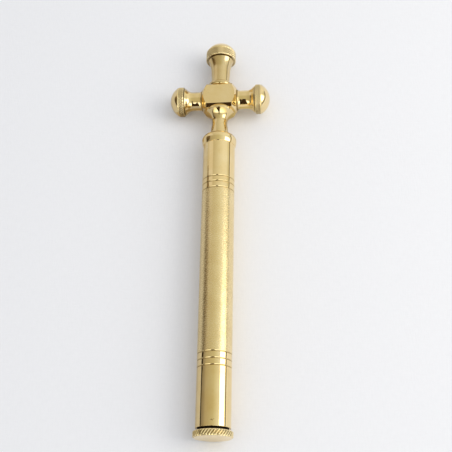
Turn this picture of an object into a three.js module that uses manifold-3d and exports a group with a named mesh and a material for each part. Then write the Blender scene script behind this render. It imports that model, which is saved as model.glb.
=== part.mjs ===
// A holy-water sprinkler stick: a hollow brass tube handle under a small cross of turned arms, lying on its side.
// Millimetres, +Z up. The stick lies along +Y, its base end at low Y and its cross at high Y.
import * as THREE from "three";
import { mergeVertices } from "three/addons/utils/BufferGeometryUtils.js";
import Module from "manifold-3d";

const wasm = await Module();
wasm.setup();

// ---------------------------------------------------------------- driving dimensions (mm)
const GAP = 0.3; // clearance between pieces that screw or press together

// handle tube
const TUBE_R = 8.0; // outer radius
const TUBE_WALL = 1.0;
const TUBE_Y0 = 4.1; // lower end, measured from the base end of the stick
const TUBE_Y1 = 144.4; // upper end
const TUBE_EDGE = 0.25; // broken edge at both ends
const GROOVE_YS = [31.0, 34.1, 37.3, 119.0, 122.2, 125.1]; // ring grooves, two bands of three
const GROOVE_W = 0.7;
const GROOVE_D = 0.28;

// base cap
const BASE_R = 9.0; // over the tops of the knurl ridges
const BASE_RIM_H = 2.9; // height of the knurled rim
const BASE_FACE_R = 8.45; // flat of the end face
const BASE_RIDGES = 38;
const RIDGE_DEPTH = 0.3;
const RIDGE_LEAN = 2.25; // how far a ridge runs round the rim over its height
const SEAT_R = 7.1; // undercut between the rim and the tube
const PLUG_R = TUBE_R - TUBE_WALL - GAP;
const BASE_PLUG_END = 9.5;

// shoulder cap (ferrule): barrel-shaped, nearly flush with the tube at its lower edge
const FERRULE_R = 8.7; // at its widest
const FERRULE_WIDE_Y = 147.6;
const FERRULE_Y1 = 151.3; // top of the shoulder
const FERRULE_PLUG_END = 139.4;

// neck
const NECK_FOOT_R = 4.35;
const NECK_MIN_R = 3.85;
const BELL_R = 7.4;

// cross block
const BLOCK_Y0 = 165.45;
const BLOCK_Y1 = 179.35;
const BLOCK_HALF_X = 8.75;
const BLOCK_HALF_Z = 7.0;
const BLOCK_CHAMFER = 1.5; // along the edges that run across the stick
const BLOCK_END_R = 6.1; // round flat that each arm stands on
const BLOCK_END_SLOPE = 0.79; // run along the arm for each millimetre of radius
const BLOCK_MID_Y = (BLOCK_Y0 + BLOCK_Y1) / 2;

// side arms, measured from the stick's axis
const ARM_R = 4.85;
const ARM_X0 = BLOCK_HALF_X + GAP;
const ARM_X1 = 17.9; // end of the arm's flare, under its cap
const ARM_FOOT_R = 5.35;
const ARM_FLARE_R = 6.85;
const CAP_R = 7.6;
const CAP_X0 = 18.3;
const CAP_RIM = 2.9;
const CAP_DOME = 4.6;

// top arm
const TOP_Y0 = BLOCK_Y1 + GAP;
const TOP_BEAD_R = 6.4; // rounded bead round its foot
const TOP_BEAD_H = 2.2;
const TOP_R = 4.66; // at its narrowest, just above the bead
const TOP_FLARE_R = 6.6;
const TOP_Y1 = 196.4;
const TOP_CAP_Y0 = 196.7;
const TOP_CAP_R = 7.85;
const TOP_CAP_RIM = 4.4;
const TOP_CAP_DOME = 5.4;

// how it lies
const FLAT = 0.1; // depth of the small flats it rests on

const SEG_TUBE = 40;
const SEG_ARM = 32;

// ---------------------------------------------------------------- helpers
const V = (r, y) => new THREE.Vector2(r, y);

// A solid of revolution about +Y from [radius, y] pairs.
function turned(pairs, segments) {
  return new THREE.LatheGeometry(
    pairs.map(([r, y]) => V(r, y)),
    segments,
  );
}

function toSolid(geometry) {
  const g = geometry.index ? geometry.toNonIndexed() : geometry.clone();
  g.deleteAttribute("normal");
  g.deleteAttribute("uv");
  const merged = mergeVertices(g, 1e-4);
  return new wasm.Manifold(
    new wasm.Mesh({
      numProp: 3,
      vertProperties: new Float32Array(merged.attributes.position.array),
      triVerts: new Uint32Array(merged.index.array),
    }),
  );
}

function toGeometry(solid) {
  const mesh = solid.getMesh();
  const g = new THREE.BufferGeometry();
  const n = mesh.numProp;
  const position = new Float32Array(mesh.numVert * 3);
  for (let i = 0; i < mesh.numVert; i++)
    position.set(mesh.vertProperties.subarray(i * n, i * n + 3), i * 3);
  g.setAttribute("position", new THREE.BufferAttribute(position, 3));
  g.setIndex(new THREE.BufferAttribute(new Uint32Array(mesh.triVerts), 1));
  g.computeVertexNormals();
  return g;
}

// Points of a smooth profile through the given [radius, y] pairs.
function smooth(pairs, steps) {
  const curve = new THREE.SplineCurve(pairs.map(([r, y]) => V(r, y)));
  return curve.getPoints(steps).map((p) => [p.x, p.y]);
}

// The profile of a domed cap standing on its rim: lip, rim, dome, closing on the axis at its tip.
function capProfile(radius, rim, dome, y0) {
  const lip = 0.35;
  const ballR = (radius * radius + dome * dome) / (2 * dome);
  const ballY = y0 + rim + dome - ballR;
  const start = Math.asin((y0 + rim - ballY) / ballR);
  const points = [
    [0, y0],
    [radius - lip, y0],
    [radius, y0 + lip],
    [radius, y0 + rim * 0.55],
  ];
  const steps = 5;
  for (let i = 0; i <= steps; i++) {
    const t = start + ((Math.PI / 2 - start) * i) / steps;
    points.push([
      i === steps ? 0 : ballR * Math.cos(t),
      ballY + ballR * Math.sin(t),
    ]);
  }
  return points;
}

// ---------------------------------------------------------------- how the stick lies
// It lies on the base cap's rim, the ferrule and the left arm's cap.
const baseHeight = BASE_R - FLAT;
const ferruleHeight = FERRULE_R - FLAT;
const TILT = Math.atan(
  (ferruleHeight - baseHeight) / (FERRULE_WIDE_Y - BASE_RIM_H / 2),
);
const crossHeight = baseHeight + (BLOCK_MID_Y - BASE_RIM_H / 2) * Math.tan(TILT);
const capEdge = CAP_X0 + CAP_RIM;
const ROLL =
  Math.asin((crossHeight + FLAT) / Math.hypot(capEdge, CAP_R)) -
  Math.atan(CAP_R / capEdge);

const stick = new THREE.Group();
stick.rotation.set(TILT, -ROLL, 0, "XYZ");
stick.position.set(0, 0, baseHeight - (BASE_RIM_H / 2) * Math.tan(TILT));
stick.updateMatrix();

// Everything under the resting plane, in the stick's own frame: it cuts the small flats.
const underfoot = toSolid(
  new THREE.BoxGeometry(120, 320, 20)
    .translate(0, 100, -10)
    .applyMatrix4(stick.matrix.clone().invert()),
);

// ---------------------------------------------------------------- materials
const polished = () =>
  new THREE.MeshStandardMaterial({
    color: 0xd9b25c,
    roughness: 0.14,
    metalness: 1.0,
  });
const satin = () =>
  new THREE.MeshStandardMaterial({
    color: 0xcfa955,
    roughness: 0.38,
    metalness: 1.0,
  });
const knurled = () =>
  new THREE.MeshStandardMaterial({
    color: 0xd2aa55,
    roughness: 0.26,
    metalness: 1.0,
  });

function add(name, geometry, material) {
  const mesh = new THREE.Mesh(geometry, material);
  mesh.name = name;
  stick.add(mesh);
  return mesh;
}

// ---------------------------------------------------------------- handle tube
{
  const outer = [
    [TUBE_R - TUBE_EDGE, TUBE_Y0],
    [TUBE_R, TUBE_Y0 + TUBE_EDGE],
  ];
  for (const y of GROOVE_YS)
    outer.push(
      [TUBE_R, y - GROOVE_W / 2],
      [TUBE_R - GROOVE_D, y],
      [TUBE_R, y + GROOVE_W / 2],
    );
  outer.push([TUBE_R, TUBE_Y1 - TUBE_EDGE], [TUBE_R - TUBE_EDGE, TUBE_Y1]);
  const bore = TUBE_R - TUBE_WALL;
  const profile = [[bore, TUBE_Y0], ...outer, [bore, TUBE_Y1], [bore, TUBE_Y0]];
  add("handle_tube", turned(profile, SEG_TUBE), satin());
}

// ---------------------------------------------------------------- base cap
{
  const profile = [
    [0, 0],
    [BASE_FACE_R, 0],
    [BASE_R, 0.5],
    [BASE_R, 1.6],
    [BASE_R, BASE_RIM_H - 0.25],
    [BASE_R - 0.45, BASE_RIM_H],
    [SEAT_R, BASE_RIM_H],
    [SEAT_R, TUBE_Y0 - GAP],
    [PLUG_R, TUBE_Y0 - GAP],
    [PLUG_R, BASE_PLUG_END],
    [0, BASE_PLUG_END],
  ];
  const g = turned(profile, BASE_RIDGES * 2);
  // Every second line of the rim is sunk, and the lines lean round the rim as they rise.
  const p = g.attributes.position;
  const rows = profile.length;
  for (let i = 0; i < p.count; i++) {
    const [r, y] = profile[i % rows];
    if (y < 0.4 || y > BASE_RIM_H - 0.1 || r < BASE_R - 0.01) continue;
    const line = Math.floor(i / rows);
    const turn =
      (line / (BASE_RIDGES * 2)) * 2 * Math.PI +
      (RIDGE_LEAN * (y - BASE_RIM_H / 2)) / BASE_RIM_H / BASE_R;
    const radius = line % 2 ? BASE_R - RIDGE_DEPTH : BASE_R;
    p.setXYZ(i, radius * Math.sin(turn), y, radius * Math.cos(turn));
  }
  const solid = toSolid(g).subtract(underfoot);
  add("base_cap", toGeometry(solid), knurled());
}

// ---------------------------------------------------------------- shoulder cap
{
  const profile = [
    [0, FERRULE_PLUG_END],
    [PLUG_R, FERRULE_PLUG_END],
    [PLUG_R, TUBE_Y1 + GAP],
    [TUBE_R - 0.05, TUBE_Y1 + GAP],
    ...smooth(
      [
        [TUBE_R + 0.12, TUBE_Y1 + GAP + 0.1],
        [FERRULE_R - 0.2, FERRULE_WIDE_Y - 1.5],
        [FERRULE_R, FERRULE_WIDE_Y],
        [FERRULE_R - 0.15, FERRULE_WIDE_Y + 1.2],
        [FERRULE_R - 0.85, FERRULE_Y1 - 1.45],
        [FERRULE_R - 2.2, FERRULE_Y1 - 0.5],
        [NECK_FOOT_R + 0.3, FERRULE_Y1],
      ],
      8,
    ),
    [0, FERRULE_Y1],
  ];
  const solid = toSolid(turned(profile, SEG_TUBE)).subtract(underfoot);
  add("shoulder_cap", toGeometry(solid), polished());
}

// ---------------------------------------------------------------- neck
{
  const y0 = FERRULE_Y1 + GAP;
  const profile = [
    [0, y0],
    [NECK_FOOT_R, y0],
    ...smooth(
      [
        [NECK_FOOT_R, y0 + 1.2],
        [NECK_FOOT_R - 0.15, 155.4],
        [NECK_MIN_R, 158.3],
        [4.1, 160.7],
        [4.7, 162.0],
        [5.6, 163.05],
        [6.7, 163.95],
        [BELL_R - 0.1, 164.35],
      ],
      10,
    ),
    [BELL_R, 164.6],
    [BELL_R, BLOCK_Y0 - GAP],
    [0, BLOCK_Y0 - GAP],
  ];
  add("neck", turned(profile, SEG_ARM), polished());
}

// ---------------------------------------------------------------- cross block
{
  const hy = (BLOCK_Y1 - BLOCK_Y0) / 2;
  const hz = BLOCK_HALF_Z;
  const c = BLOCK_CHAMFER;
  const section = new THREE.Shape();
  section.moveTo(-hz + c, -hy);
  section.lineTo(hz - c, -hy);
  section.lineTo(hz, -hy + c);
  section.lineTo(hz, hy - c);
  section.lineTo(hz - c, hy);
  section.lineTo(-hz + c, hy);
  section.lineTo(-hz, hy - c);
  section.lineTo(-hz, -hy + c);
  section.closePath();
  const bar = new THREE.ExtrudeGeometry(section, {
    depth: 2 * BLOCK_HALF_X,
    bevelEnabled: false,
    steps: 1,
  })
    .translate(0, 0, -BLOCK_HALF_X)
    .rotateY(Math.PI / 2);
  // Turned chamfers towards the two side arms.
  const wide = 11.0;
  const corner = BLOCK_HALF_X - (wide - BLOCK_END_R) * BLOCK_END_SLOPE;
  const cones = turned(
    [
      [0, -BLOCK_HALF_X],
      [BLOCK_END_R, -BLOCK_HALF_X],
      [wide, -corner],
      [wide, corner],
      [BLOCK_END_R, BLOCK_HALF_X],
      [0, BLOCK_HALF_X],
    ],
    56,
  ).rotateZ(-Math.PI / 2);
  const solid = toSolid(bar).intersect(toSolid(cones));
  const mesh = add("cross_block", toGeometry(solid), polished());
  mesh.position.set(0, BLOCK_MID_Y, 0);
}

// ---------------------------------------------------------------- side arms and their caps
for (const [side, sign] of [
  ["left", -1],
  ["right", 1],
]) {
  const arm = new THREE.Group();
  arm.position.set(0, BLOCK_MID_Y, 0);
  arm.rotation.z = (-sign * Math.PI) / 2;
  stick.add(arm);

  const profile = [
    [0, ARM_X0],
    [ARM_FOOT_R, ARM_X0],
    ...smooth(
      [
        [ARM_FOOT_R - 0.02, ARM_X0 + 0.25],
        [ARM_R + 0.16, ARM_X0 + 0.6],
        [ARM_R + 0.02, ARM_X0 + 1.2],
        [ARM_R, ARM_X0 + 3.0],
        [ARM_R + 0.03, ARM_X0 + 5.4],
        [ARM_R + 0.25, ARM_X1 - 2.4],
        [ARM_R + 0.75, ARM_X1 - 1.4],
        [ARM_FLARE_R - 0.25, ARM_X1 - 0.35],
      ],
      7,
    ),
    [ARM_FLARE_R, ARM_X1],
    [0, ARM_X1],
  ];
  const armMesh = new THREE.Mesh(turned(profile, SEG_ARM), polished());
  armMesh.name = side + "_arm";
  arm.add(armMesh);

  let cap = turned(capProfile(CAP_R, CAP_RIM, CAP_DOME, CAP_X0), SEG_ARM);
  if (sign < 0) {
    arm.updateMatrix();
    const cutter = toSolid(
      new THREE.BoxGeometry(120, 320, 20)
        .translate(0, 100, -10)
        .applyMatrix4(stick.matrix.clone().multiply(arm.matrix).invert()),
    );
    cap = toGeometry(toSolid(cap).subtract(cutter));
  }
  const capMesh = new THREE.Mesh(cap, knurled());
  capMesh.name = side + "_arm_cap";
  arm.add(capMesh);
}

// ---------------------------------------------------------------- top arm and its cap
{
  const profile = [
    [0, TOP_Y0],
    [TOP_BEAD_R - 0.45, TOP_Y0],
    [TOP_BEAD_R - 0.1, TOP_Y0 + 0.3],
    [TOP_BEAD_R, TOP_Y0 + 0.9],
    [TOP_BEAD_R - 0.12, TOP_Y0 + 1.5],
    [TOP_BEAD_R - 0.5, TOP_Y0 + TOP_BEAD_H - 0.25],
    ...smooth(
      [
        [TOP_R + 0.2, TOP_Y0 + TOP_BEAD_H],
        [TOP_R, TOP_Y0 + 3.3],
        [TOP_R + 0.03, TOP_Y0 + 5.5],
        [TOP_R + 0.21, TOP_Y0 + 8.6],
        [TOP_R + 0.44, TOP_Y0 + 11.7],
        [TOP_R + 0.75, TOP_Y0 + 13.4],
        [TOP_R + 1.15, TOP_Y0 + 15.0],
        [TOP_FLARE_R - 0.2, TOP_Y1 - 0.6],
      ],
      9,
    ),
    [TOP_FLARE_R, TOP_Y1],
    [0, TOP_Y1],
  ];
  add("top_arm", turned(profile, SEG_ARM), polished());
  add(
    "top_arm_cap",
    turned(
      capProfile(TOP_CAP_R, TOP_CAP_RIM, TOP_CAP_DOME, TOP_CAP_Y0),
      SEG_ARM,
    ),
    knurled(),
  );
}

// ---------------------------------------------------------------- origin: under the middle of the whole stick, on the resting plane
const sprinkler = new THREE.Group();
sprinkler.add(stick);
sprinkler.updateMatrixWorld(true);
const box = new THREE.Box3();
sprinkler.traverse((o) => {
  if (!o.isMesh) return;
  const g = o.geometry.clone().applyMatrix4(o.matrixWorld);
  g.computeBoundingBox();
  box.union(g.boundingBox);
});
stick.position.x -= (box.min.x + box.max.x) / 2;
stick.position.y -= (box.min.y + box.max.y) / 2;
stick.position.z -= box.min.z;

export default sprinkler;
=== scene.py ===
import math

import bmesh
import bpy
import numpy as np
from mathutils import Matrix, Vector


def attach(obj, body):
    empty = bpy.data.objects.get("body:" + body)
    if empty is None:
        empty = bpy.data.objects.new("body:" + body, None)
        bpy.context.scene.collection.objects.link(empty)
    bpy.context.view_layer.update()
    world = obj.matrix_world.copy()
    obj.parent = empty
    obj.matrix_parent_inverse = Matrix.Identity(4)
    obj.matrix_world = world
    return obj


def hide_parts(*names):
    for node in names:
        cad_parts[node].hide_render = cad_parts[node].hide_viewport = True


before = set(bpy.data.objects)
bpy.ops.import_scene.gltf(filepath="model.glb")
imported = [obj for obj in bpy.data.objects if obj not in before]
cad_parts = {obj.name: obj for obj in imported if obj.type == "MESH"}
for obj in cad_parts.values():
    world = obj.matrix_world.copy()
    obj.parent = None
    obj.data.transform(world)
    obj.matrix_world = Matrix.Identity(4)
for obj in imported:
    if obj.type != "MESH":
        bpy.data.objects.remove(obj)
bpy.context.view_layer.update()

# ------------------------------------------------------------------ sizes of the stick, in millimetres
# The stick's own frame: its axis is Y, its base end is at y = 0, and its side arms run along X.
MM = 0.001
TUBE_R, BORE_R = 8.0, 7.0
TUBE_Y0, TUBE_Y1 = 4.1, 144.69
GROOVE_YS = (31.0, 34.1, 37.3, 119.0, 122.2, 125.1)
GROOVE_W, GROOVE_D = 0.7, 0.28
BASE_R, BASE_RIM_H, SEAT_R, PLUG_R = 9.0, 2.9, 7.1, 6.7
FERRULE_R, FERRULE_WIDE_Y, FERRULE_Y1 = 8.7, 147.6, 151.3
BLOCK_Y0, BLOCK_Y1, BLOCK_HALF_X, BLOCK_HALF_Z = 165.45, 179.35, 8.75, 7.0
BLOCK_CHAMFER, BLOCK_END_R, BLOCK_END_SLOPE = 1.5, 6.1, 0.79
BLOCK_MID_Y = (BLOCK_Y0 + BLOCK_Y1) / 2
CAP_R, CAP_X0, CAP_RIM, CAP_DOME = 7.6, 18.3, 2.9, 4.6
TOP_CAP_R, TOP_CAP_Y0, TOP_CAP_RIM, TOP_CAP_DOME = 7.85, 196.7, 4.4, 5.4
FLAT = 0.1

# How it lies: on the base cap's rim, the ferrule and the left arm's cap.
base_height = BASE_R - FLAT
TILT = math.atan((FERRULE_R - FLAT - base_height) / (FERRULE_WIDE_Y - BASE_RIM_H / 2))
cross_height = base_height + (BLOCK_MID_Y - BASE_RIM_H / 2) * math.tan(TILT)
cap_edge = CAP_X0 + CAP_RIM
ROLL = math.asin((cross_height + FLAT) / math.hypot(cap_edge, CAP_R)) - math.atan(CAP_R / cap_edge)
STICK = (
    Matrix.Translation((0.0, -0.10324111, 0.00890298))
    @ Matrix.Rotation(TILT, 4, "X")
    @ Matrix.Rotation(-ROLL, 4, "Y")
    @ Matrix.Scale(MM, 4)
)


# ------------------------------------------------------------------ profiles
def rounded(points, segs=6):
    """The outline through (r, y) or (r, y, fillet) points, with each stated fillet made an arc."""
    out = []
    for i, p in enumerate(points):
        here = np.array(p[:2], float)
        fillet = p[2] if len(p) > 2 else 0.0
        if fillet <= 0 or i == 0 or i == len(points) - 1:
            out.append(tuple(here))
            continue
        a = np.array(points[i - 1][:2], float) - here
        b = np.array(points[i + 1][:2], float) - here
        la, lb = np.linalg.norm(a), np.linalg.norm(b)
        a, b = a / la, b / lb
        angle = math.acos(max(-1.0, min(1.0, float(a @ b))))
        if angle > math.pi - 0.03:
            out.append(tuple(here))
            continue
        t = min(fillet / math.tan(angle / 2), 0.48 * la, 0.48 * lb)
        radius = t * math.tan(angle / 2)
        middle = (a + b) / np.linalg.norm(a + b)
        centre = here + middle * radius / math.sin(angle / 2)
        v0, v1 = here + a * t - centre, here + b * t - centre
        s = math.atan2(v0[1], v0[0])
        turn = (math.atan2(v1[1], v1[0]) - s + math.pi) % (2 * math.pi) - math.pi
        for k in range(segs + 1):
            w = s + turn * k / segs
            out.append((centre[0] + radius * math.cos(w), centre[1] + radius * math.sin(w)))
    return out


def curve(points, steps):
    """A smooth line through the points, by chord length."""
    p = np.array(points, float)
    t = np.concatenate([[0], np.cumsum(np.linalg.norm(np.diff(p, axis=0), axis=1) ** 0.7)])
    m = np.gradient(p, t, axis=0)
    out = []
    for s in np.linspace(0, t[-1], steps + 1):
        i = min(np.searchsorted(t, s, side="right") - 1, len(t) - 2)
        h = t[i + 1] - t[i]
        x = (s - t[i]) / h
        a, b = 2 * x**3 - 3 * x**2 + 1, x**3 - 2 * x**2 + x
        c, d = -2 * x**3 + 3 * x**2, x**3 - x**2
        q = a * p[i] + b * h * m[i] + c * p[i + 1] + d * h * m[i + 1]
        out.append((q[0], q[1]))
    return out


def rows(r, y0, y1, count):
    """Evenly spaced points of a cylinder's side."""
    return [(r, y0 + (y1 - y0) * k / count) for k in range(count + 1)]


# ------------------------------------------------------------------ meshes
def lathe(name, outline, segments, closed=False, relief=None, turn=0.0):
    """A solid turned about Y from (r, y) points. relief(angle, r, y) gives how deep each point is cut, in mm, and
    how far it is down in a valley, from 0 to 1, which the materials also use to place painted shade."""
    pts = np.array(outline, float)
    n = len(pts)
    ang = np.arange(segments) * 2 * math.pi / segments + turn
    after, before = np.roll(pts, -1, axis=0), np.roll(pts, 1, axis=0)
    if not closed:
        after[-1], before[0] = pts[-1], pts[0]
    along = after - before
    along /= np.maximum(np.linalg.norm(along, axis=1)[:, None], 1e-9)
    normal = np.stack([along[:, 1], -along[:, 0]], axis=1)
    R = np.repeat(pts[:, 0][:, None], segments, axis=1)
    Y = np.repeat(pts[:, 1][:, None], segments, axis=1)
    A = np.repeat(ang[None, :], n, axis=0)
    valley = np.zeros_like(R)
    if relief is not None:
        cut, valley = relief(A, R, Y)
        R = R - cut * normal[:, 0][:, None]
        Y = Y - cut * normal[:, 1][:, None]
    pole = [not closed and i in (0, n - 1) and pts[i, 0] < 1e-6 for i in range(n)]
    verts, index, valleys = [], [], []
    for i in range(n):
        if pole[i]:
            index.append([len(verts)] * segments)
            verts.append((0.0, float(pts[i, 1]), 0.0))
            valleys.append(0.0)
        else:
            base = len(verts)
            index.append([base + j for j in range(segments)])
            verts.extend(zip(R[i] * np.sin(A[i]), Y[i], R[i] * np.cos(A[i])))
            valleys.extend(valley[i])
    length = np.concatenate([[0], np.cumsum(np.linalg.norm(np.diff(pts, axis=0), axis=1))])
    faces, uvs = [], []
    widest = float(pts[:, 0].max())
    last = n if closed else n - 1
    for i in range(last):
        k = (i + 1) % n
        v0, v1 = length[i], length[k] if k else length[i] + float(np.linalg.norm(pts[0] - pts[i]))
        for j in range(segments):
            m = (j + 1) % segments
            u0, u1 = j / segments * 2 * math.pi * widest, (j + 1) / segments * 2 * math.pi * widest
            if pole[i]:
                faces.append((index[i][j], index[k][m], index[k][j]))
                uvs.extend([(u0, v0), (u1, v1), (u0, v1)])
            elif pole[k]:
                faces.append((index[i][j], index[i][m], index[k][j]))
                uvs.extend([(u0, v0), (u1, v0), (u0, v1)])
            else:
                faces.append((index[i][j], index[i][m], index[k][m], index[k][j]))
                uvs.extend([(u0, v0), (u1, v0), (u1, v1), (u0, v1)])
    mesh = bpy.data.meshes.new(name)
    mesh.from_pydata([tuple(map(float, v)) for v in verts], [], faces)
    layer = mesh.uv_layers.new(name="turned")
    layer.data.foreach_set("uv", np.array(uvs, np.float32).ravel())
    a = mesh.attributes.new("valley", "FLOAT", "POINT")
    a.data.foreach_set("value", np.array(valleys, np.float32))
    return mesh


def faces_out(mesh):
    """Turns the faces outwards, by the solid's signed volume."""
    mesh.calc_loop_triangles()
    co = np.zeros(len(mesh.vertices) * 3)
    mesh.vertices.foreach_get("co", co)
    co = co.reshape(-1, 3)
    tri = np.zeros(len(mesh.loop_triangles) * 3, int)
    mesh.loop_triangles.foreach_get("vertices", tri)
    t = co[tri.reshape(-1, 3)]
    if np.einsum("ij,ij->i", t[:, 0], np.cross(t[:, 1], t[:, 2])).sum() < 0:
        mesh.flip_normals()


def shade(mesh):
    """Smooth normals weighted by face area, so that small roundings don't pull at the large faces."""
    mesh.calc_loop_triangles()
    co = np.zeros(len(mesh.vertices) * 3)
    mesh.vertices.foreach_get("co", co)
    co = co.reshape(-1, 3)
    tri = np.zeros(len(mesh.loop_triangles) * 3, int)
    mesh.loop_triangles.foreach_get("vertices", tri)
    tri = tri.reshape(-1, 3)
    face = np.cross(co[tri[:, 1]] - co[tri[:, 0]], co[tri[:, 2]] - co[tri[:, 0]])
    normal = np.zeros_like(co)
    for k in range(3):
        np.add.at(normal, tri[:, k], face)
    normal /= np.maximum(np.linalg.norm(normal, axis=1)[:, None], 1e-20)
    mesh.polygons.foreach_set("use_smooth", [True] * len(mesh.polygons))
    mesh.normals_split_custom_set_from_vertices(normal.astype(np.float32).tolist())


def piece(name, mesh, node, materials, place=None):
    """Puts a mesh that was made in the stick's frame, in millimetres, in its place in the row frame."""
    faces_out(mesh)
    mesh.transform(STICK @ (place or Matrix.Identity(4)))
    mesh.update()
    shade(mesh)
    obj = bpy.data.objects.new(name, mesh)
    bpy.context.scene.collection.objects.link(obj)
    for m in materials:
        mesh.materials.append(m)
    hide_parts(node)
    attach(obj, "root")
    return obj


def press_flat(mesh, place=None):
    """Presses what would dip under the surface it lies on up to that surface: the small flats it rests on."""
    full = STICK @ (place or Matrix.Identity(4))
    back = full.inverted()
    for v in mesh.vertices:
        w = full @ v.co
        if w.z < 0.0:
            w.z = 0.0
            v.co = back @ w


# ------------------------------------------------------------------ materials
class Nodes:
    """A short way to write a node material."""

    def __init__(self, name):
        self.mat = bpy.data.materials.new(name)
        self.mat.use_nodes = True
        self.tree = self.mat.node_tree
        self.tree.nodes.clear()
        self.out = self.tree.nodes.new("ShaderNodeOutputMaterial")
        self.bsdf = self.tree.nodes.new("ShaderNodeBsdfPrincipled")
        self.tree.links.new(self.bsdf.outputs[0], self.out.inputs["Surface"])

    def add(self, kind, **values):
        node = self.tree.nodes.new(kind)
        for k, v in values.items():
            setattr(node, k, v)
        return node

    def link(self, a, b):
        self.tree.links.new(a, b)

    def noise(self, vector, scale, detail=3.0, rough=0.55, distortion=0.0):
        n = self.add("ShaderNodeTexNoise")
        n.inputs["Scale"].default_value = scale
        n.inputs["Detail"].default_value = detail
        n.inputs["Roughness"].default_value = rough
        n.inputs["Distortion"].default_value = distortion
        self.link(vector, n.inputs["Vector"])
        return n.outputs["Fac"]

    def mapping(self, vector, scale=(1, 1, 1), turn=(0, 0, 0)):
        n = self.add("ShaderNodeMapping")
        n.inputs["Scale"].default_value = scale
        n.inputs["Rotation"].default_value = turn
        self.link(vector, n.inputs["Vector"])
        return n.outputs["Vector"]

    def span(self, value, lo, hi, from_lo=0.0, from_hi=1.0):
        n = self.add("ShaderNodeMapRange")
        n.inputs["From Min"].default_value = from_lo
        n.inputs["From Max"].default_value = from_hi
        n.inputs["To Min"].default_value = lo
        n.inputs["To Max"].default_value = hi
        self.link(value, n.inputs["Value"])
        return n.outputs["Result"]

    def ramp(self, value, stops):
        n = self.add("ShaderNodeValToRGB")
        e = n.color_ramp.elements
        while len(e) < len(stops):
            e.new(0.5)
        for s, (pos, colour) in zip(e, stops):
            s.position = pos
            s.color = (*colour, 1.0)
        self.link(value, n.inputs["Fac"])
        return n.outputs["Color"]

    def mix(self, fac, a, b, blend="MIX"):
        n = self.add("ShaderNodeMix", data_type="RGBA", blend_type=blend)
        for socket, v in ((n.inputs["Factor"], fac), (n.inputs[6], a), (n.inputs[7], b)):
            if isinstance(v, bpy.types.NodeSocket):
                self.link(v, socket)
            elif isinstance(v, (int, float)):
                socket.default_value = v
            else:
                socket.default_value = (*v, 1.0)
        return n.outputs[2]

    def math(self, op, a, b=None):
        n = self.add("ShaderNodeMath", operation=op)
        for socket, v in zip(n.inputs, (a, b)):
            if v is None:
                continue
            if isinstance(v, bpy.types.NodeSocket):
                self.link(v, socket)
            else:
                socket.default_value = v
        return n.outputs[0]

    def bump(self, height, strength, distance, under=None):
        n = self.add("ShaderNodeBump")
        n.inputs["Strength"].default_value = strength
        n.inputs["Distance"].default_value = distance
        self.link(height, n.inputs["Height"])
        if under is not None:
            self.link(under, n.inputs["Normal"])
        return n.outputs["Normal"]


GOLD_DEEP = (0.86, 0.655, 0.315)
GOLD = (0.90, 0.715, 0.385)
GOLD_PALE = (0.93, 0.765, 0.455)


NICK = (0.0000, -0.0962, 0.0169)


def polished_brass():
    """Mirror-polished plated brass: smudges that dull it a little, faint turning marks, a few pinholes, and cut
    lines that are tarnished and carry painted shade. The same darkening is painted shade in recesses and where parts
    meet, and it also makes the neck and the top arm a little darker."""
    m = Nodes("polished_brass")
    where = m.add("ShaderNodeTexCoord").outputs["Object"]
    turned = m.add("ShaderNodeUVMap", uv_map="turned").outputs["UV"]
    tint = m.noise(where, 140.0, 4.0)
    colour = m.ramp(tint, [(0.25, GOLD_DEEP), (0.52, GOLD), (0.85, GOLD_PALE)])
    smudge = m.noise(where, 55.0, 5.0, 0.6, 0.6)
    rough = m.span(smudge, 0.03, 0.085, 0.35, 0.75)
    lines = m.noise(m.mapping(turned, (0.05, 9.0, 1.0)), 1.0, 2.0)
    pit = m.add("ShaderNodeTexVoronoi")
    pit.inputs["Scale"].default_value = 210.0
    m.link(where, pit.inputs["Vector"])
    hole = m.span(pit.outputs["Distance"], 0.85, 0.0, 0.02, 0.06)
    # a small nick low on the handle
    near = m.add("ShaderNodeVectorMath", operation="DISTANCE")
    m.link(where, near.inputs[0])
    near.inputs[1].default_value = NICK
    ragged = m.math("ADD", near.outputs["Value"], m.span(m.noise(where, 1500.0, 2.0), -0.0006, 0.0006, 0.3, 0.7))
    hole = m.math("MAXIMUM", hole, m.span(ragged, 0.8, 0.0, 0.00025, 0.0006))
    colour = m.mix(hole, colour, (0.26, 0.15, 0.05))
    depth = m.add("ShaderNodeAttribute", attribute_name="valley").outputs["Fac"]
    # the valley value darkens the colour: the cut lines are tarnished and take painted shade, and recesses and joins
    # take painted shade
    tarnish_and_painted_shade = m.span(depth, 0.0, 0.82, 0.1, 0.8)
    m.link(m.mix(tarnish_and_painted_shade, colour, (0.34, 0.23, 0.085)), m.bsdf.inputs["Base Color"])
    dull = m.math("ADD", m.math("MULTIPLY", hole, 0.3), m.math("MULTIPLY", tarnish_and_painted_shade, 0.3))
    m.link(m.math("ADD", rough, dull), m.bsdf.inputs["Roughness"])
    wave = m.bump(m.noise(where, 95.0, 2.0), 0.05, 0.0010)
    m.link(m.bump(lines, 0.05, 0.00004, wave), m.bsdf.inputs["Normal"])
    m.bsdf.inputs["Metallic"].default_value = 1.0
    return m.mat


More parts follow.
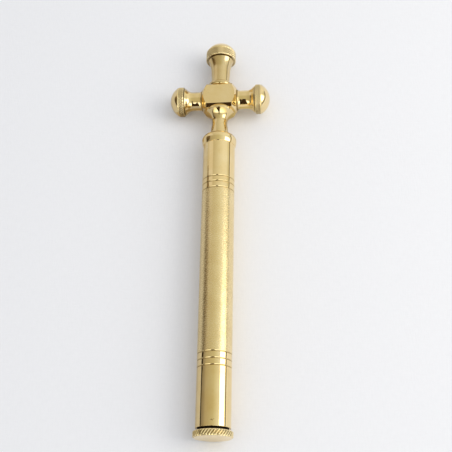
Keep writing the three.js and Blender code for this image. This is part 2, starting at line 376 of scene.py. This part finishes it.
def satin_brass():
    """Scratch-brushed plated brass: short slanting scratches over a soft sheen."""
    m = Nodes("satin_brass")
    where = m.add("ShaderNodeTexCoord").outputs["Object"]
    turned = m.add("ShaderNodeUVMap", uv_map="turned").outputs["UV"]
    slant = m.noise(m.mapping(turned, (0.75, 3.4, 1.0), (0, 0, math.radians(52))), 1.0, 3.0, 0.6)
    cross = m.noise(m.mapping(turned, (1.0, 4.2, 1.0), (0, 0, math.radians(-38))), 1.0, 2.0, 0.6)
    grain = m.noise(turned, 3.2, 3.0, 0.7)
    scratches = m.math("ADD", m.math("MULTIPLY", slant, 0.6), m.math("ADD", m.math("MULTIPLY", cross, 0.2), m.math("MULTIPLY", grain, 0.2)))
    tint = m.ramp(m.noise(where, 120.0, 4.0), [(0.3, (0.82, 0.63, 0.31)), (0.55, (0.88, 0.70, 0.37)), (0.85, (0.92, 0.755, 0.44))])
    m.link(m.mix(m.span(scratches, 0.0, 0.45, 0.42, 0.66), tint, (0.97, 0.86, 0.56)), m.bsdf.inputs["Base Color"])
    m.link(m.span(scratches, 0.17, 0.32, 0.35, 0.65), m.bsdf.inputs["Roughness"])
    m.link(m.bump(scratches, 0.32, 0.00032), m.bsdf.inputs["Normal"])
    m.bsdf.inputs["Metallic"].default_value = 1.0
    return m.mat


def knurled_brass():
    """Plated brass with a cut grip: a paler gold over the knurled band as painted sheen, darker valleys with grime
    and painted shade, painted shade under the lip and on the side facing down the stick, and painted shade, near
    black, in the deep seat under the rim."""
    m = Nodes("knurled_brass")
    where = m.add("ShaderNodeTexCoord").outputs["Object"]
    colour = m.ramp(m.noise(where, 160.0, 4.0), [(0.25, GOLD_DEEP), (0.52, GOLD), (0.85, GOLD_PALE)])
    depth = m.add("ShaderNodeAttribute", attribute_name="valley").outputs["Fac"]
    # grime and painted shade: the knurl valleys, the underside of the lip and the side facing down the stick
    grime_and_painted_shade = m.math("MULTIPLY", m.span(m.noise(where, 700.0, 3.0), 0.6, 1.0, 0.35, 0.65), m.span(depth, 0.0, 0.96, 0.4, 0.9))
    # painted sheen: a paler gold over the knurled band, standing in for bright light caught by the crests
    painted_sheen = m.span(depth, 0.0, 0.5, 0.01, 0.06)
    colour = m.mix(painted_sheen, colour, (1.0, 0.86, 0.53))
    colour = m.mix(grime_and_painted_shade, colour, (0.17, 0.105, 0.035))
    # painted shade, near black, in the deep seat under the base cap's rim
    painted_seat_shade = m.span(depth, 0.0, 1.0, 1.2, 1.7)
    m.link(m.mix(painted_seat_shade, colour, (0.022, 0.014, 0.007)), m.bsdf.inputs["Base Color"])
    rough = m.span(m.noise(where, 75.0, 4.0), 0.05, 0.11, 0.35, 0.7)
    dull = m.math("ADD", m.math("MULTIPLY", grime_and_painted_shade, 0.2), m.math("MULTIPLY", painted_seat_shade, 0.4))
    dull = m.math("ADD", dull, m.math("MULTIPLY", painted_sheen, 0.09))
    m.link(m.math("ADD", rough, dull), m.bsdf.inputs["Roughness"])
    m.link(m.bump(m.noise(where, 110.0, 2.0), 0.05, 0.001), m.bsdf.inputs["Normal"])
    m.bsdf.inputs["Metallic"].default_value = 1.0
    return m.mat


def cloth_floor():
    m = Nodes("pale_floor")
    where = m.add("ShaderNodeTexCoord").outputs["Object"]
    thread = m.noise(m.mapping(where, (1500.0, 260.0, 1.0)), 1.0, 2.0)
    weft = m.noise(m.mapping(where, (220.0, 1300.0, 1.0)), 1.0, 2.0)
    weave = m.math("ADD", m.math("MULTIPLY", thread, 0.6), m.math("MULTIPLY", weft, 0.4))
    m.link(m.ramp(weave, [(0.3, (0.87, 0.87, 0.885)), (0.7, (0.90, 0.90, 0.915))]), m.bsdf.inputs["Base Color"])
    m.link(m.bump(weave, 0.25, 0.0003), m.bsdf.inputs["Normal"])
    m.bsdf.inputs["Roughness"].default_value = 0.95
    m.bsdf.inputs["Specular IOR Level"].default_value = 0.15
    return m.mat


POLISHED, SATIN, KNURLED = polished_brass(), satin_brass(), knurled_brass()

# ------------------------------------------------------------------ handle tube
SEG = 240


def groove(y):
    return [(TUBE_R, y - GROOVE_W / 2, 0.06), (TUBE_R - GROOVE_D, y, 0.09), (TUBE_R, y + GROOVE_W / 2, 0.06)]


outer = [(TUBE_R, TUBE_Y0, 0.22), (TUBE_R, 12.0)]
for y in GROOVE_YS[:3]:
    outer += groove(y)
outer += [(TUBE_R, 38.2 + k * 4.0) for k in range(21)][:-1]
for y in GROOVE_YS[3:]:
    outer += groove(y)
outer += [(TUBE_R, 135.0), (TUBE_R, TUBE_Y1, 0.1)]
outline = rounded([(BORE_R, 60.0), (BORE_R, TUBE_Y0, 0.1)] + outer + [(BORE_R, TUBE_Y1, 0.1), (BORE_R, 100.0)], 4)


def tube_relief(a, r, y):
    """Nothing is cut deeper: it only tells how far each point is down in a ring groove."""
    return np.zeros_like(r), np.where(r > 7.5, np.clip((TUBE_R - r) / GROOVE_D, 0, 1), 0.0)


mesh = lathe("handle_tube_detail", outline, SEG, closed=True, relief=tube_relief)
tube = piece("handle_tube_detail", mesh, "handle_tube", [POLISHED, SATIN])
to_stick = STICK.inverted()
for f in mesh.polygons:
    c = to_stick @ f.center
    if math.hypot(c.x, c.z) > 7.6 and GROOVE_YS[2] + 0.36 < c.y < GROOVE_YS[3] - 0.36:
        f.material_index = 1

# ------------------------------------------------------------------ base cap, with slanting ridges round its rim
RIDGES, RIDGE_DEPTH, RIDGE_LEAN = 38, 0.42, 2.25


def rim_relief(a, r, y):
    across = a * RIDGES / (2 * math.pi) - RIDGES * RIDGE_LEAN * (y - BASE_RIM_H / 2) / BASE_RIM_H / (2 * math.pi * BASE_R)
    wave = 1 - np.abs(2 * (across % 1.0) - 1)
    wave = np.clip(wave * 1.35 - 0.12, 0, 1)
    on = np.clip((r - 8.62) / 0.3, 0, 1) * (y < BASE_RIM_H + 0.01)
    # the seat under the rim gets the highest valley value, for painted shade, near black; the ridge valleys take
    # grime and painted shade
    seat = (y > BASE_RIM_H - 0.01) & (r < 8.3)
    return RIDGE_DEPTH * wave * on, np.where(seat, 2.0, wave * on)


outline = rounded([(0, 0), (6.0, 0.0), (8.4, 0.0, 0.15), (BASE_R, 0.5, 0.15), (BASE_R, 0.9)], 5)
outline += rows(BASE_R, 1.05, 2.2, 8)
outline += rounded(
    [(BASE_R, 2.3), (BASE_R, 2.62, 0.12), (8.62, BASE_RIM_H, 0.1), (SEAT_R, BASE_RIM_H, 0.1), (SEAT_R, TUBE_Y0 - 0.01), (PLUG_R, TUBE_Y0 - 0.01), (PLUG_R, 9.5, 0.4), (0, 9.5)],
    4,
)
mesh = lathe("base_cap_detail", outline, RIDGES * 10, relief=rim_relief)
press_flat(mesh)
piece("base_cap_detail", mesh, "base_cap", [KNURLED])

# ------------------------------------------------------------------ shoulder cap
outline = (
    rounded([(0, 139.4), (PLUG_R, 139.4, 0.4), (PLUG_R, 144.7), (TUBE_R + 0.02, 144.7)], 4)
    + curve([(8.1, 144.76), (8.22, 145.0), (8.5, 146.1), (FERRULE_R, FERRULE_WIDE_Y), (8.55, 148.8), (7.85, 149.85), (6.5, 150.8), (4.7, 151.28)], 44)
    + [(0, FERRULE_Y1)]
)
mesh = lathe("shoulder_cap_detail", outline, SEG)
press_flat(mesh)
piece("shoulder_cap_detail", mesh, "shoulder_cap", [POLISHED])

# ------------------------------------------------------------------ neck
outline = (
    [(0, 151.31), (4.35, 151.31)]
    + curve([(4.35, 151.7), (4.35, 152.8), (4.2, 155.4), (3.85, 158.3), (4.1, 160.7), (4.7, 162.0), (5.6, 163.05), (6.7, 163.95), (7.25, 164.3)], 44)
    + rounded([(7.28, 164.32), (7.4, 164.5, 0.15), (7.4, 165.44, 0.1), (0, 165.44)], 5)
)
# painted shade at the foot of the neck, where it meets the shoulder cap; the rest of the neck is made a little
# darker
mesh = lathe("neck_detail", outline, SEG, relief=lambda a, r, y: (np.zeros_like(r), np.where(y < 151.75, 1.0, 0.25)))
piece("neck_detail", mesh, "neck", [POLISHED])


# ------------------------------------------------------------------ cross block
def cross_block():
    """An eight-sided bar whose ends are turned down to round faces: the bar and the turned solid, intersected."""
    hy, hz, c = (BLOCK_Y1 - BLOCK_Y0) / 2, BLOCK_HALF_Z, BLOCK_CHAMFER
    ring = [(-hy, hz - c), (-hy + c, hz), (hy - c, hz), (hy, hz - c), (hy, -hz + c), (hy - c, -hz), (-hy + c, -hz), (-hy, -hz + c)]
    bm = bmesh.new()
    lo = [bm.verts.new((-BLOCK_HALF_X, y, z)) for y, z in ring]
    hi = [bm.verts.new((BLOCK_HALF_X, y, z)) for y, z in ring]
    bm.faces.new(lo)
    bm.faces.new(hi[::-1])
    for i in range(8):
        k = (i + 1) % 8
        bm.faces.new((lo[k], lo[i], hi[i], hi[k]))
    bmesh.ops.recalc_face_normals(bm, faces=bm.faces[:])
    bar_mesh = bpy.data.meshes.new("bar")
    bm.to_mesh(bar_mesh)
    bm.free()
    wide, slope, end_r = 11.0, BLOCK_END_SLOPE, BLOCK_END_R
    corner = BLOCK_HALF_X - (wide - end_r) * slope
    cone = lathe(
        "cone", [(0, -BLOCK_HALF_X), (end_r, -BLOCK_HALF_X), (wide, -corner), (wide, corner), (end_r, BLOCK_HALF_X), (0, BLOCK_HALF_X)], 200
    )
    cone.transform(Matrix.Rotation(-math.pi / 2, 4, "Z"))
    faces_out(cone)
    bar = bpy.data.objects.new("bar", bar_mesh)
    cutter = bpy.data.objects.new("cone", cone)
    for o in (bar, cutter):
        bpy.context.scene.collection.objects.link(o)
    mod = bar.modifiers.new("cut", "BOOLEAN")
    mod.operation, mod.solver, mod.object = "INTERSECT", "EXACT", cutter
    bevel = bar.modifiers.new("edges", "BEVEL")
    bevel.width, bevel.segments, bevel.limit_method, bevel.angle_limit = 0.22, 4, "ANGLE", math.radians(12)
    bevel.profile = 0.5
    bpy.context.view_layer.update()
    done = bpy.data.meshes.new_from_object(bar.evaluated_get(bpy.context.evaluated_depsgraph_get()))
    for o in (bar, cutter):
        bpy.data.objects.remove(o)
    done.name = "cross_block_detail"
    return done


mesh = cross_block()
if "valley" not in mesh.attributes:
    mesh.attributes.new("valley", "FLOAT", "POINT")
piece("cross_block_detail", mesh, "cross_block", [POLISHED], Matrix.Translation((0, BLOCK_MID_Y, 0)))


# ------------------------------------------------------------------ arms and their caps
def diamond_relief(y0, y1, radius, count, depth, low_side=0.0):
    """A diamond knurl between y0 and y1: two crossing sets of grooves that leave small pyramids with flattened tips.
    low_side is the sign of the side that faces down along the stick, which gets painted shade."""
    pitch = 2 * math.pi * radius / count

    def relief(a, r, y):
        p = a * count / (2 * math.pi)
        q = (y - y0) / pitch
        g = np.maximum(1 - np.abs(2 * ((p + q) % 1.0) - 1), 1 - np.abs(2 * ((p - q) % 1.0) - 1))
        g = np.clip((g - 0.16) / 0.8, 0, 1)
        fade = np.clip((y - y0) / 0.25, 0, 1) * np.clip((y1 - y) / 0.35, 0, 1) * (r > radius * 0.93)
        # painted shade on the underside of the cap's lip, and on the side that faces down along the stick
        under = (y < y0 - 0.13) & (r < radius - 0.2)
        low = 0.8 * np.clip((low_side * np.sin(a) - 0.66) / 0.2, 0, 1) * fade
        return depth * g * fade, np.where(under, 0.8, np.maximum(np.maximum(g * fade, low), 0.06 * fade))

    return relief, pitch


def cap_outline(radius, y0, rim, dome, pitch, inner):
    """A domed cap that stands on its lip, its rim rows in step with the knurl."""
    ball = (radius**2 + dome**2) / (2 * dome)
    centre = y0 + rim + dome - ball
    start = math.asin((y0 + rim - centre) / ball)
    step = pitch / 10
    count = int((rim - 0.35) / step)
    side = [(radius, y0 + 0.3 + k * step) for k in range(count + 1) if y0 + 0.3 + k * step < y0 + rim * 0.86]
    top = side[-1][1]
    out = rounded([(0, y0), (inner, y0), (radius - 0.32, y0, 0.12), (radius, y0 + 0.26, 0.12), side[0]], 4)
    out += side[1:]
    # the rim turns over into the dome along a short rounding
    turn_in = []
    for k in range(1, 41):
        t = start + (math.pi / 2 - start) * k / 40
        turn_in.append((ball * math.cos(t), centre + ball * math.sin(t)))
    first = next(i for i, p in enumerate(turn_in) if p[1] > y0 + rim + 0.35)
    bend = curve([(radius, top), (radius - 0.03, top + (y0 + rim - top) * 0.75), turn_in[first], turn_in[first + 2]], 10)
    out += bend[1:-3]
    out += turn_in[first:-1] + [(0, y0 + rim + dome)]
    return out


def painted_recess_shade(lip, foot, body=0.0):
    """Nothing is cut: painted shade lies in the recess under the lip of the arm's cap and in the corner at its foot,
    and body paints the rest a little darker and duller as shade."""
    return lambda a, r, y: (np.zeros_like(r), np.where((y > lip) | ((y > foot[0]) & (y < foot[1])), 0.9, body))


for side, sign in (("left", -1), ("right", 1)):
    place = Matrix.Translation((0, BLOCK_MID_Y, 0)) @ Matrix.Rotation(-sign * math.pi / 2, 4, "Z")
    outline = (
        [(0, 8.76), (5.35, 8.76), (5.35, 9.1)]
        + curve([(5.33, 9.22), (5.2, 9.42), (4.98, 9.7), (4.87, 10.25), (4.85, 12.05), (4.88, 14.45), (5.1, 15.5), (5.65, 16.5), (6.6, 17.5), (6.8, 17.8)], 44)
        + [(6.82, 17.9), (6.72, 17.96), (6.2, 17.98), (6.2, 18.29), (0, 18.29)]
    )
    # painted shade under the cap's lip and in the corner where the arm meets the block
    mesh = lathe(side + "_arm_detail", outline, 200, relief=painted_recess_shade(17.93, (8.0, 9.55)))
    piece(side + "_arm_detail", mesh, side + "_arm", [POLISHED], place)
    relief, pitch = diamond_relief(CAP_X0 + 0.15, CAP_X0 + CAP_RIM + 0.1, CAP_R, 34, 0.34, sign)
    mesh = lathe(side + "_arm_cap_detail", cap_outline(CAP_R, CAP_X0, CAP_RIM, CAP_DOME, pitch, 6.9), 34 * 10, relief=relief)
    press_flat(mesh, place)
    piece(side + "_arm_cap_detail", mesh, side + "_arm_cap", [KNURLED], place)

outline = (
    [(0, 179.36), (5.6, 179.36)]
    + curve([(5.8, 179.42), (6.22, 179.85), (6.4, 180.6), (6.24, 181.25), (5.75, 181.75), (5.2, 181.9)], 18)
    + curve([(4.9, 181.95), (4.7, 182.6), (4.67, 183.7), (4.69, 185.15), (4.87, 188.25), (5.1, 191.35), (5.41, 193.05), (5.81, 194.65), (6.22, 195.7), (6.5, 196.2)], 60)
    + [(6.57, 196.32), (6.5, 196.38), (5.9, 196.4), (5.9, 196.69), (0, 196.69)]
)
# painted shade under the cap's lip and in the crease over the bead, and the whole top arm a little darker as painted
# shade
mesh = lathe("top_arm_detail", outline, SEG, relief=painted_recess_shade(196.35, (181.8, 182.15), 0.36))
piece("top_arm_detail", mesh, "top_arm", [POLISHED])
relief, pitch = diamond_relief(TOP_CAP_Y0 + 0.15, TOP_CAP_Y0 + TOP_CAP_RIM + 0.1, TOP_CAP_R, 36, 0.34)
mesh = lathe("top_arm_cap_detail", cap_outline(TOP_CAP_R, TOP_CAP_Y0, TOP_CAP_RIM, TOP_CAP_DOME, pitch, 7.2), 36 * 10, relief=relief)
piece("top_arm_cap_detail", mesh, "top_arm_cap", [KNURLED])


# ------------------------------------------------------------------ floor, light and camera
def plane(name, corners, material):
    mesh = bpy.data.meshes.new(name)
    mesh.from_pydata(corners, [], [tuple(range(len(corners)))])
    mesh.materials.append(material)
    obj = bpy.data.objects.new(name, mesh)
    bpy.context.scene.collection.objects.link(obj)
    return obj


plane("floor", [(-4, -4, 0), (4, -4, 0), (4, 4, 0), (-4, 4, 0)], cloth_floor())


def card(name, corners, colour, far_colour=None, start=0.0, end=1.0):
    """A card at the edge of the set that only the metal's reflections show. It may change colour along Y."""
    m = Nodes(name)
    where = m.add("ShaderNodeTexCoord").outputs["Object"]
    split = m.add("ShaderNodeSeparateXYZ")
    m.link(where, split.inputs[0])
    along = m.span(split.outputs[1], 0.0, 1.0, start, end)
    shade_of = m.mix(along, colour, far_colour or colour)
    m.link(m.mix(m.span(m.noise(where, 3.0), 0.0, 0.25), shade_of, (0.0, 0.0, 0.0)), m.bsdf.inputs["Base Color"])
    m.bsdf.inputs["Roughness"].default_value = 1.0
    m.bsdf.inputs["Specular IOR Level"].default_value = 0.0
    obj = plane(name, corners, m.mat)
    obj.visible_camera = obj.visible_diffuse = obj.visible_shadow = False
    return obj


card(
    "card_front",
    [(0.05, -0.72, 0.002), (0.02, -0.72, 0.30), (0.01, -0.72, 0.95), (-0.03, -0.72, 1.44), (-0.06, -0.72, 1.95), (-0.29, -0.72, 1.95), (-0.23, -0.72, 1.44), (-0.165, -0.72, 0.80), (-0.165, -0.72, 0.64), (-0.21, -0.72, 0.52), (-0.22, -0.72, 0.002)],
    (0.06, 0.035, 0.018),
)
card(
    "card_left",
    [(-0.45, -0.70, 0.022), (-0.45, 0.22, 0.022), (-0.45, 0.27, 0.10), (-0.45, 0.25, 0.34), (-0.45, 0.115, 0.25), (-0.45, 0.03, 0.085), (-0.45, -0.70, 0.08)],
    (0.04, 0.026, 0.012),
    (0.26, 0.185, 0.10),
    0.05,
    0.25,
)
# low cards just over the floor: the shade beside the stick and under the cross
card("card_shade", [(-0.40, -0.30, 0.0004), (-0.013, -0.30, 0.0004), (-0.013, 0.30, 0.0004), (-0.40, 0.30, 0.0004)], (0.76, 0.74, 0.71))
card("card_under_left", [(-0.030, 0.050, 0.0006), (-0.004, 0.050, 0.0006), (-0.004, 0.0615, 0.0006), (-0.030, 0.0615, 0.0006)], (0.61, 0.48, 0.28))
card("card_under_right", [(0.004, 0.050, 0.0006), (0.014, 0.050, 0.0006), (0.014, 0.0615, 0.0006), (0.004, 0.0615, 0.0006)], (0.74, 0.70, 0.49))
card("card_right", [(0.85, -0.6, 0.0), (0.85, 0.8, 0.0), (0.85, 0.8, 0.13), (0.85, -0.6, 0.13)], (0.34, 0.31, 0.22))


def area(name, place, towards, size, watts, colour, in_gloss):
    light = bpy.data.lights.new(name, "AREA")
    light.shape, light.size, light.size_y = "RECTANGLE", size[0], size[1]
    light.energy, light.color = watts, colour
    obj = bpy.data.objects.new(name, light)
    bpy.context.scene.collection.objects.link(obj)
    obj.location = place
    obj.rotation_euler = (Vector(towards) - obj.location).to_track_quat("-Z", "Y").to_euler()
    obj.visible_camera = False
    obj.visible_glossy = in_gloss
    return obj


area("window", (0.82, -0.07, 0.50), (0.0, -0.07, 0.0), (0.62, 0.62), 2.85, (1.0, 0.97, 0.90), True)
area("soft_key", (0.90, 0.15, 1.15), (0.0, 0.0, 0.0), (1.0, 1.0), 4.6, (1.0, 0.985, 0.965), False)


def studio_world():
    """Soft even light for the floor, and for the metal's reflections a warm room: darker low on the left,
    pale on the right, and bright in front of the stick."""
    world = bpy.data.worlds.new("studio")
    world.use_nodes = True
    tree = world.node_tree
    tree.nodes.clear()
    new, link = tree.nodes.new, tree.links.new

    def span(value, lo, hi, from_lo, from_hi):
        n = new("ShaderNodeMapRange")
        for k, v in (("From Min", from_lo), ("From Max", from_hi), ("To Min", lo), ("To Max", hi)):
            n.inputs[k].default_value = v
        link(value, n.inputs["Value"])
        return n.outputs["Result"]

    def ramp(value, stops):
        n = new("ShaderNodeValToRGB")
        e = n.color_ramp.elements
        while len(e) < len(stops):
            e.new(0.5)
        for q, (pos, colour) in zip(e, stops):
            q.position = (pos + 1) / 2
            q.color = (*colour, 1.0)
        link(span(value, 0.0, 1.0, -1.0, 1.0), n.inputs["Fac"])
        return n.outputs["Color"]

    def mix(fac, a, b):
        n = new("ShaderNodeMix")
        n.data_type = "RGBA"
        for socket, v in ((n.inputs["Factor"], fac), (n.inputs[6], a), (n.inputs[7], b)):
            if isinstance(v, bpy.types.NodeSocket):
                link(v, socket)
            else:
                socket.default_value = (*v, 1.0)
        return n.outputs[2]

    split = new("ShaderNodeSeparateXYZ")
    link(new("ShaderNodeTexCoord").outputs["Generated"], split.inputs[0])
    x, y, z = split.outputs
    far = ramp(x, [(-1.0, (0.30, 0.27, 0.20)), (-0.8, (0.76, 0.72, 0.65)), (-0.58, (0.76, 0.72, 0.65)), (-0.54, (0.60, 0.56, 0.44)), (0.55, (0.92, 0.92, 0.85)), (0.78, (0.92, 0.92, 0.85)), (0.9, (0.62, 0.60, 0.46))])
    near = ramp(x, [(-0.95, (0.28, 0.25, 0.20)), (-0.75, (0.48, 0.43, 0.31)), (0.0, (0.62, 0.59, 0.42)), (0.35, (0.78, 0.78, 0.66)), (0.5, (0.86, 0.87, 0.82))])
    front = ramp(z, [(0.05, (0.55, 0.50, 0.38)), (0.22, (0.75, 0.70, 0.55)), (0.42, (1.0, 1.0, 1.0))])
    lift = new("ShaderNodeMix")
    lift.data_type, lift.blend_type = "RGBA", "MULTIPLY"
    lift.inputs["Factor"].default_value = 1.0
    link(front, lift.inputs[6])
    lift.inputs[7].default_value = (2.1, 2.2, 2.2, 1.0)
    room = mix(span(y, 0.0, 1.0, 0.28, 0.42), near, far)
    room = mix(span(y, 0.0, 1.0, -0.60, -0.76), room, lift.outputs[2])
    gloss = new("ShaderNodeBackground")
    link(room, gloss.inputs["Color"])
    soft = new("ShaderNodeBackground")
    soft.inputs["Color"].default_value = (0.955, 0.972, 1.0, 1.0)
    soft.inputs["Strength"].default_value = 0.72
    either = new("ShaderNodeMixShader")
    link(new("ShaderNodeLightPath").outputs["Is Glossy Ray"], either.inputs[0])
    link(soft.outputs[0], either.inputs[1])
    link(gloss.outputs[0], either.inputs[2])
    link(either.outputs[0], new("ShaderNodeOutputWorld").inputs["Surface"])
    return world


bpy.context.scene.world = studio_world()

camera = bpy.data.cameras.new("camera")
camera.lens, camera.sensor_width = 66.9, 36.0
camera.clip_start, camera.clip_end = 0.01, 50.0
camera_obj = bpy.data.objects.new("camera", camera)
bpy.context.scene.collection.objects.link(camera_obj)
back = Vector((0.05217, -0.40242, 0.91397)).normalized()
right = Vector((0.99862, 0.01583, -0.05004))
right = (right - back * right.dot(back)).normalized()
up = back.cross(right)
camera_obj.matrix_world = Matrix(
    (
        (right.x, up.x, back.x, 0.0254),
        (right.y, up.y, back.y, -0.16574),
        (right.z, up.z, back.z, 0.38073),
        (0, 0, 0, 1),
    )
)
bpy.context.scene.camera = camera_obj
bpy.context.scene.view_settings.view_transform = "Standard"
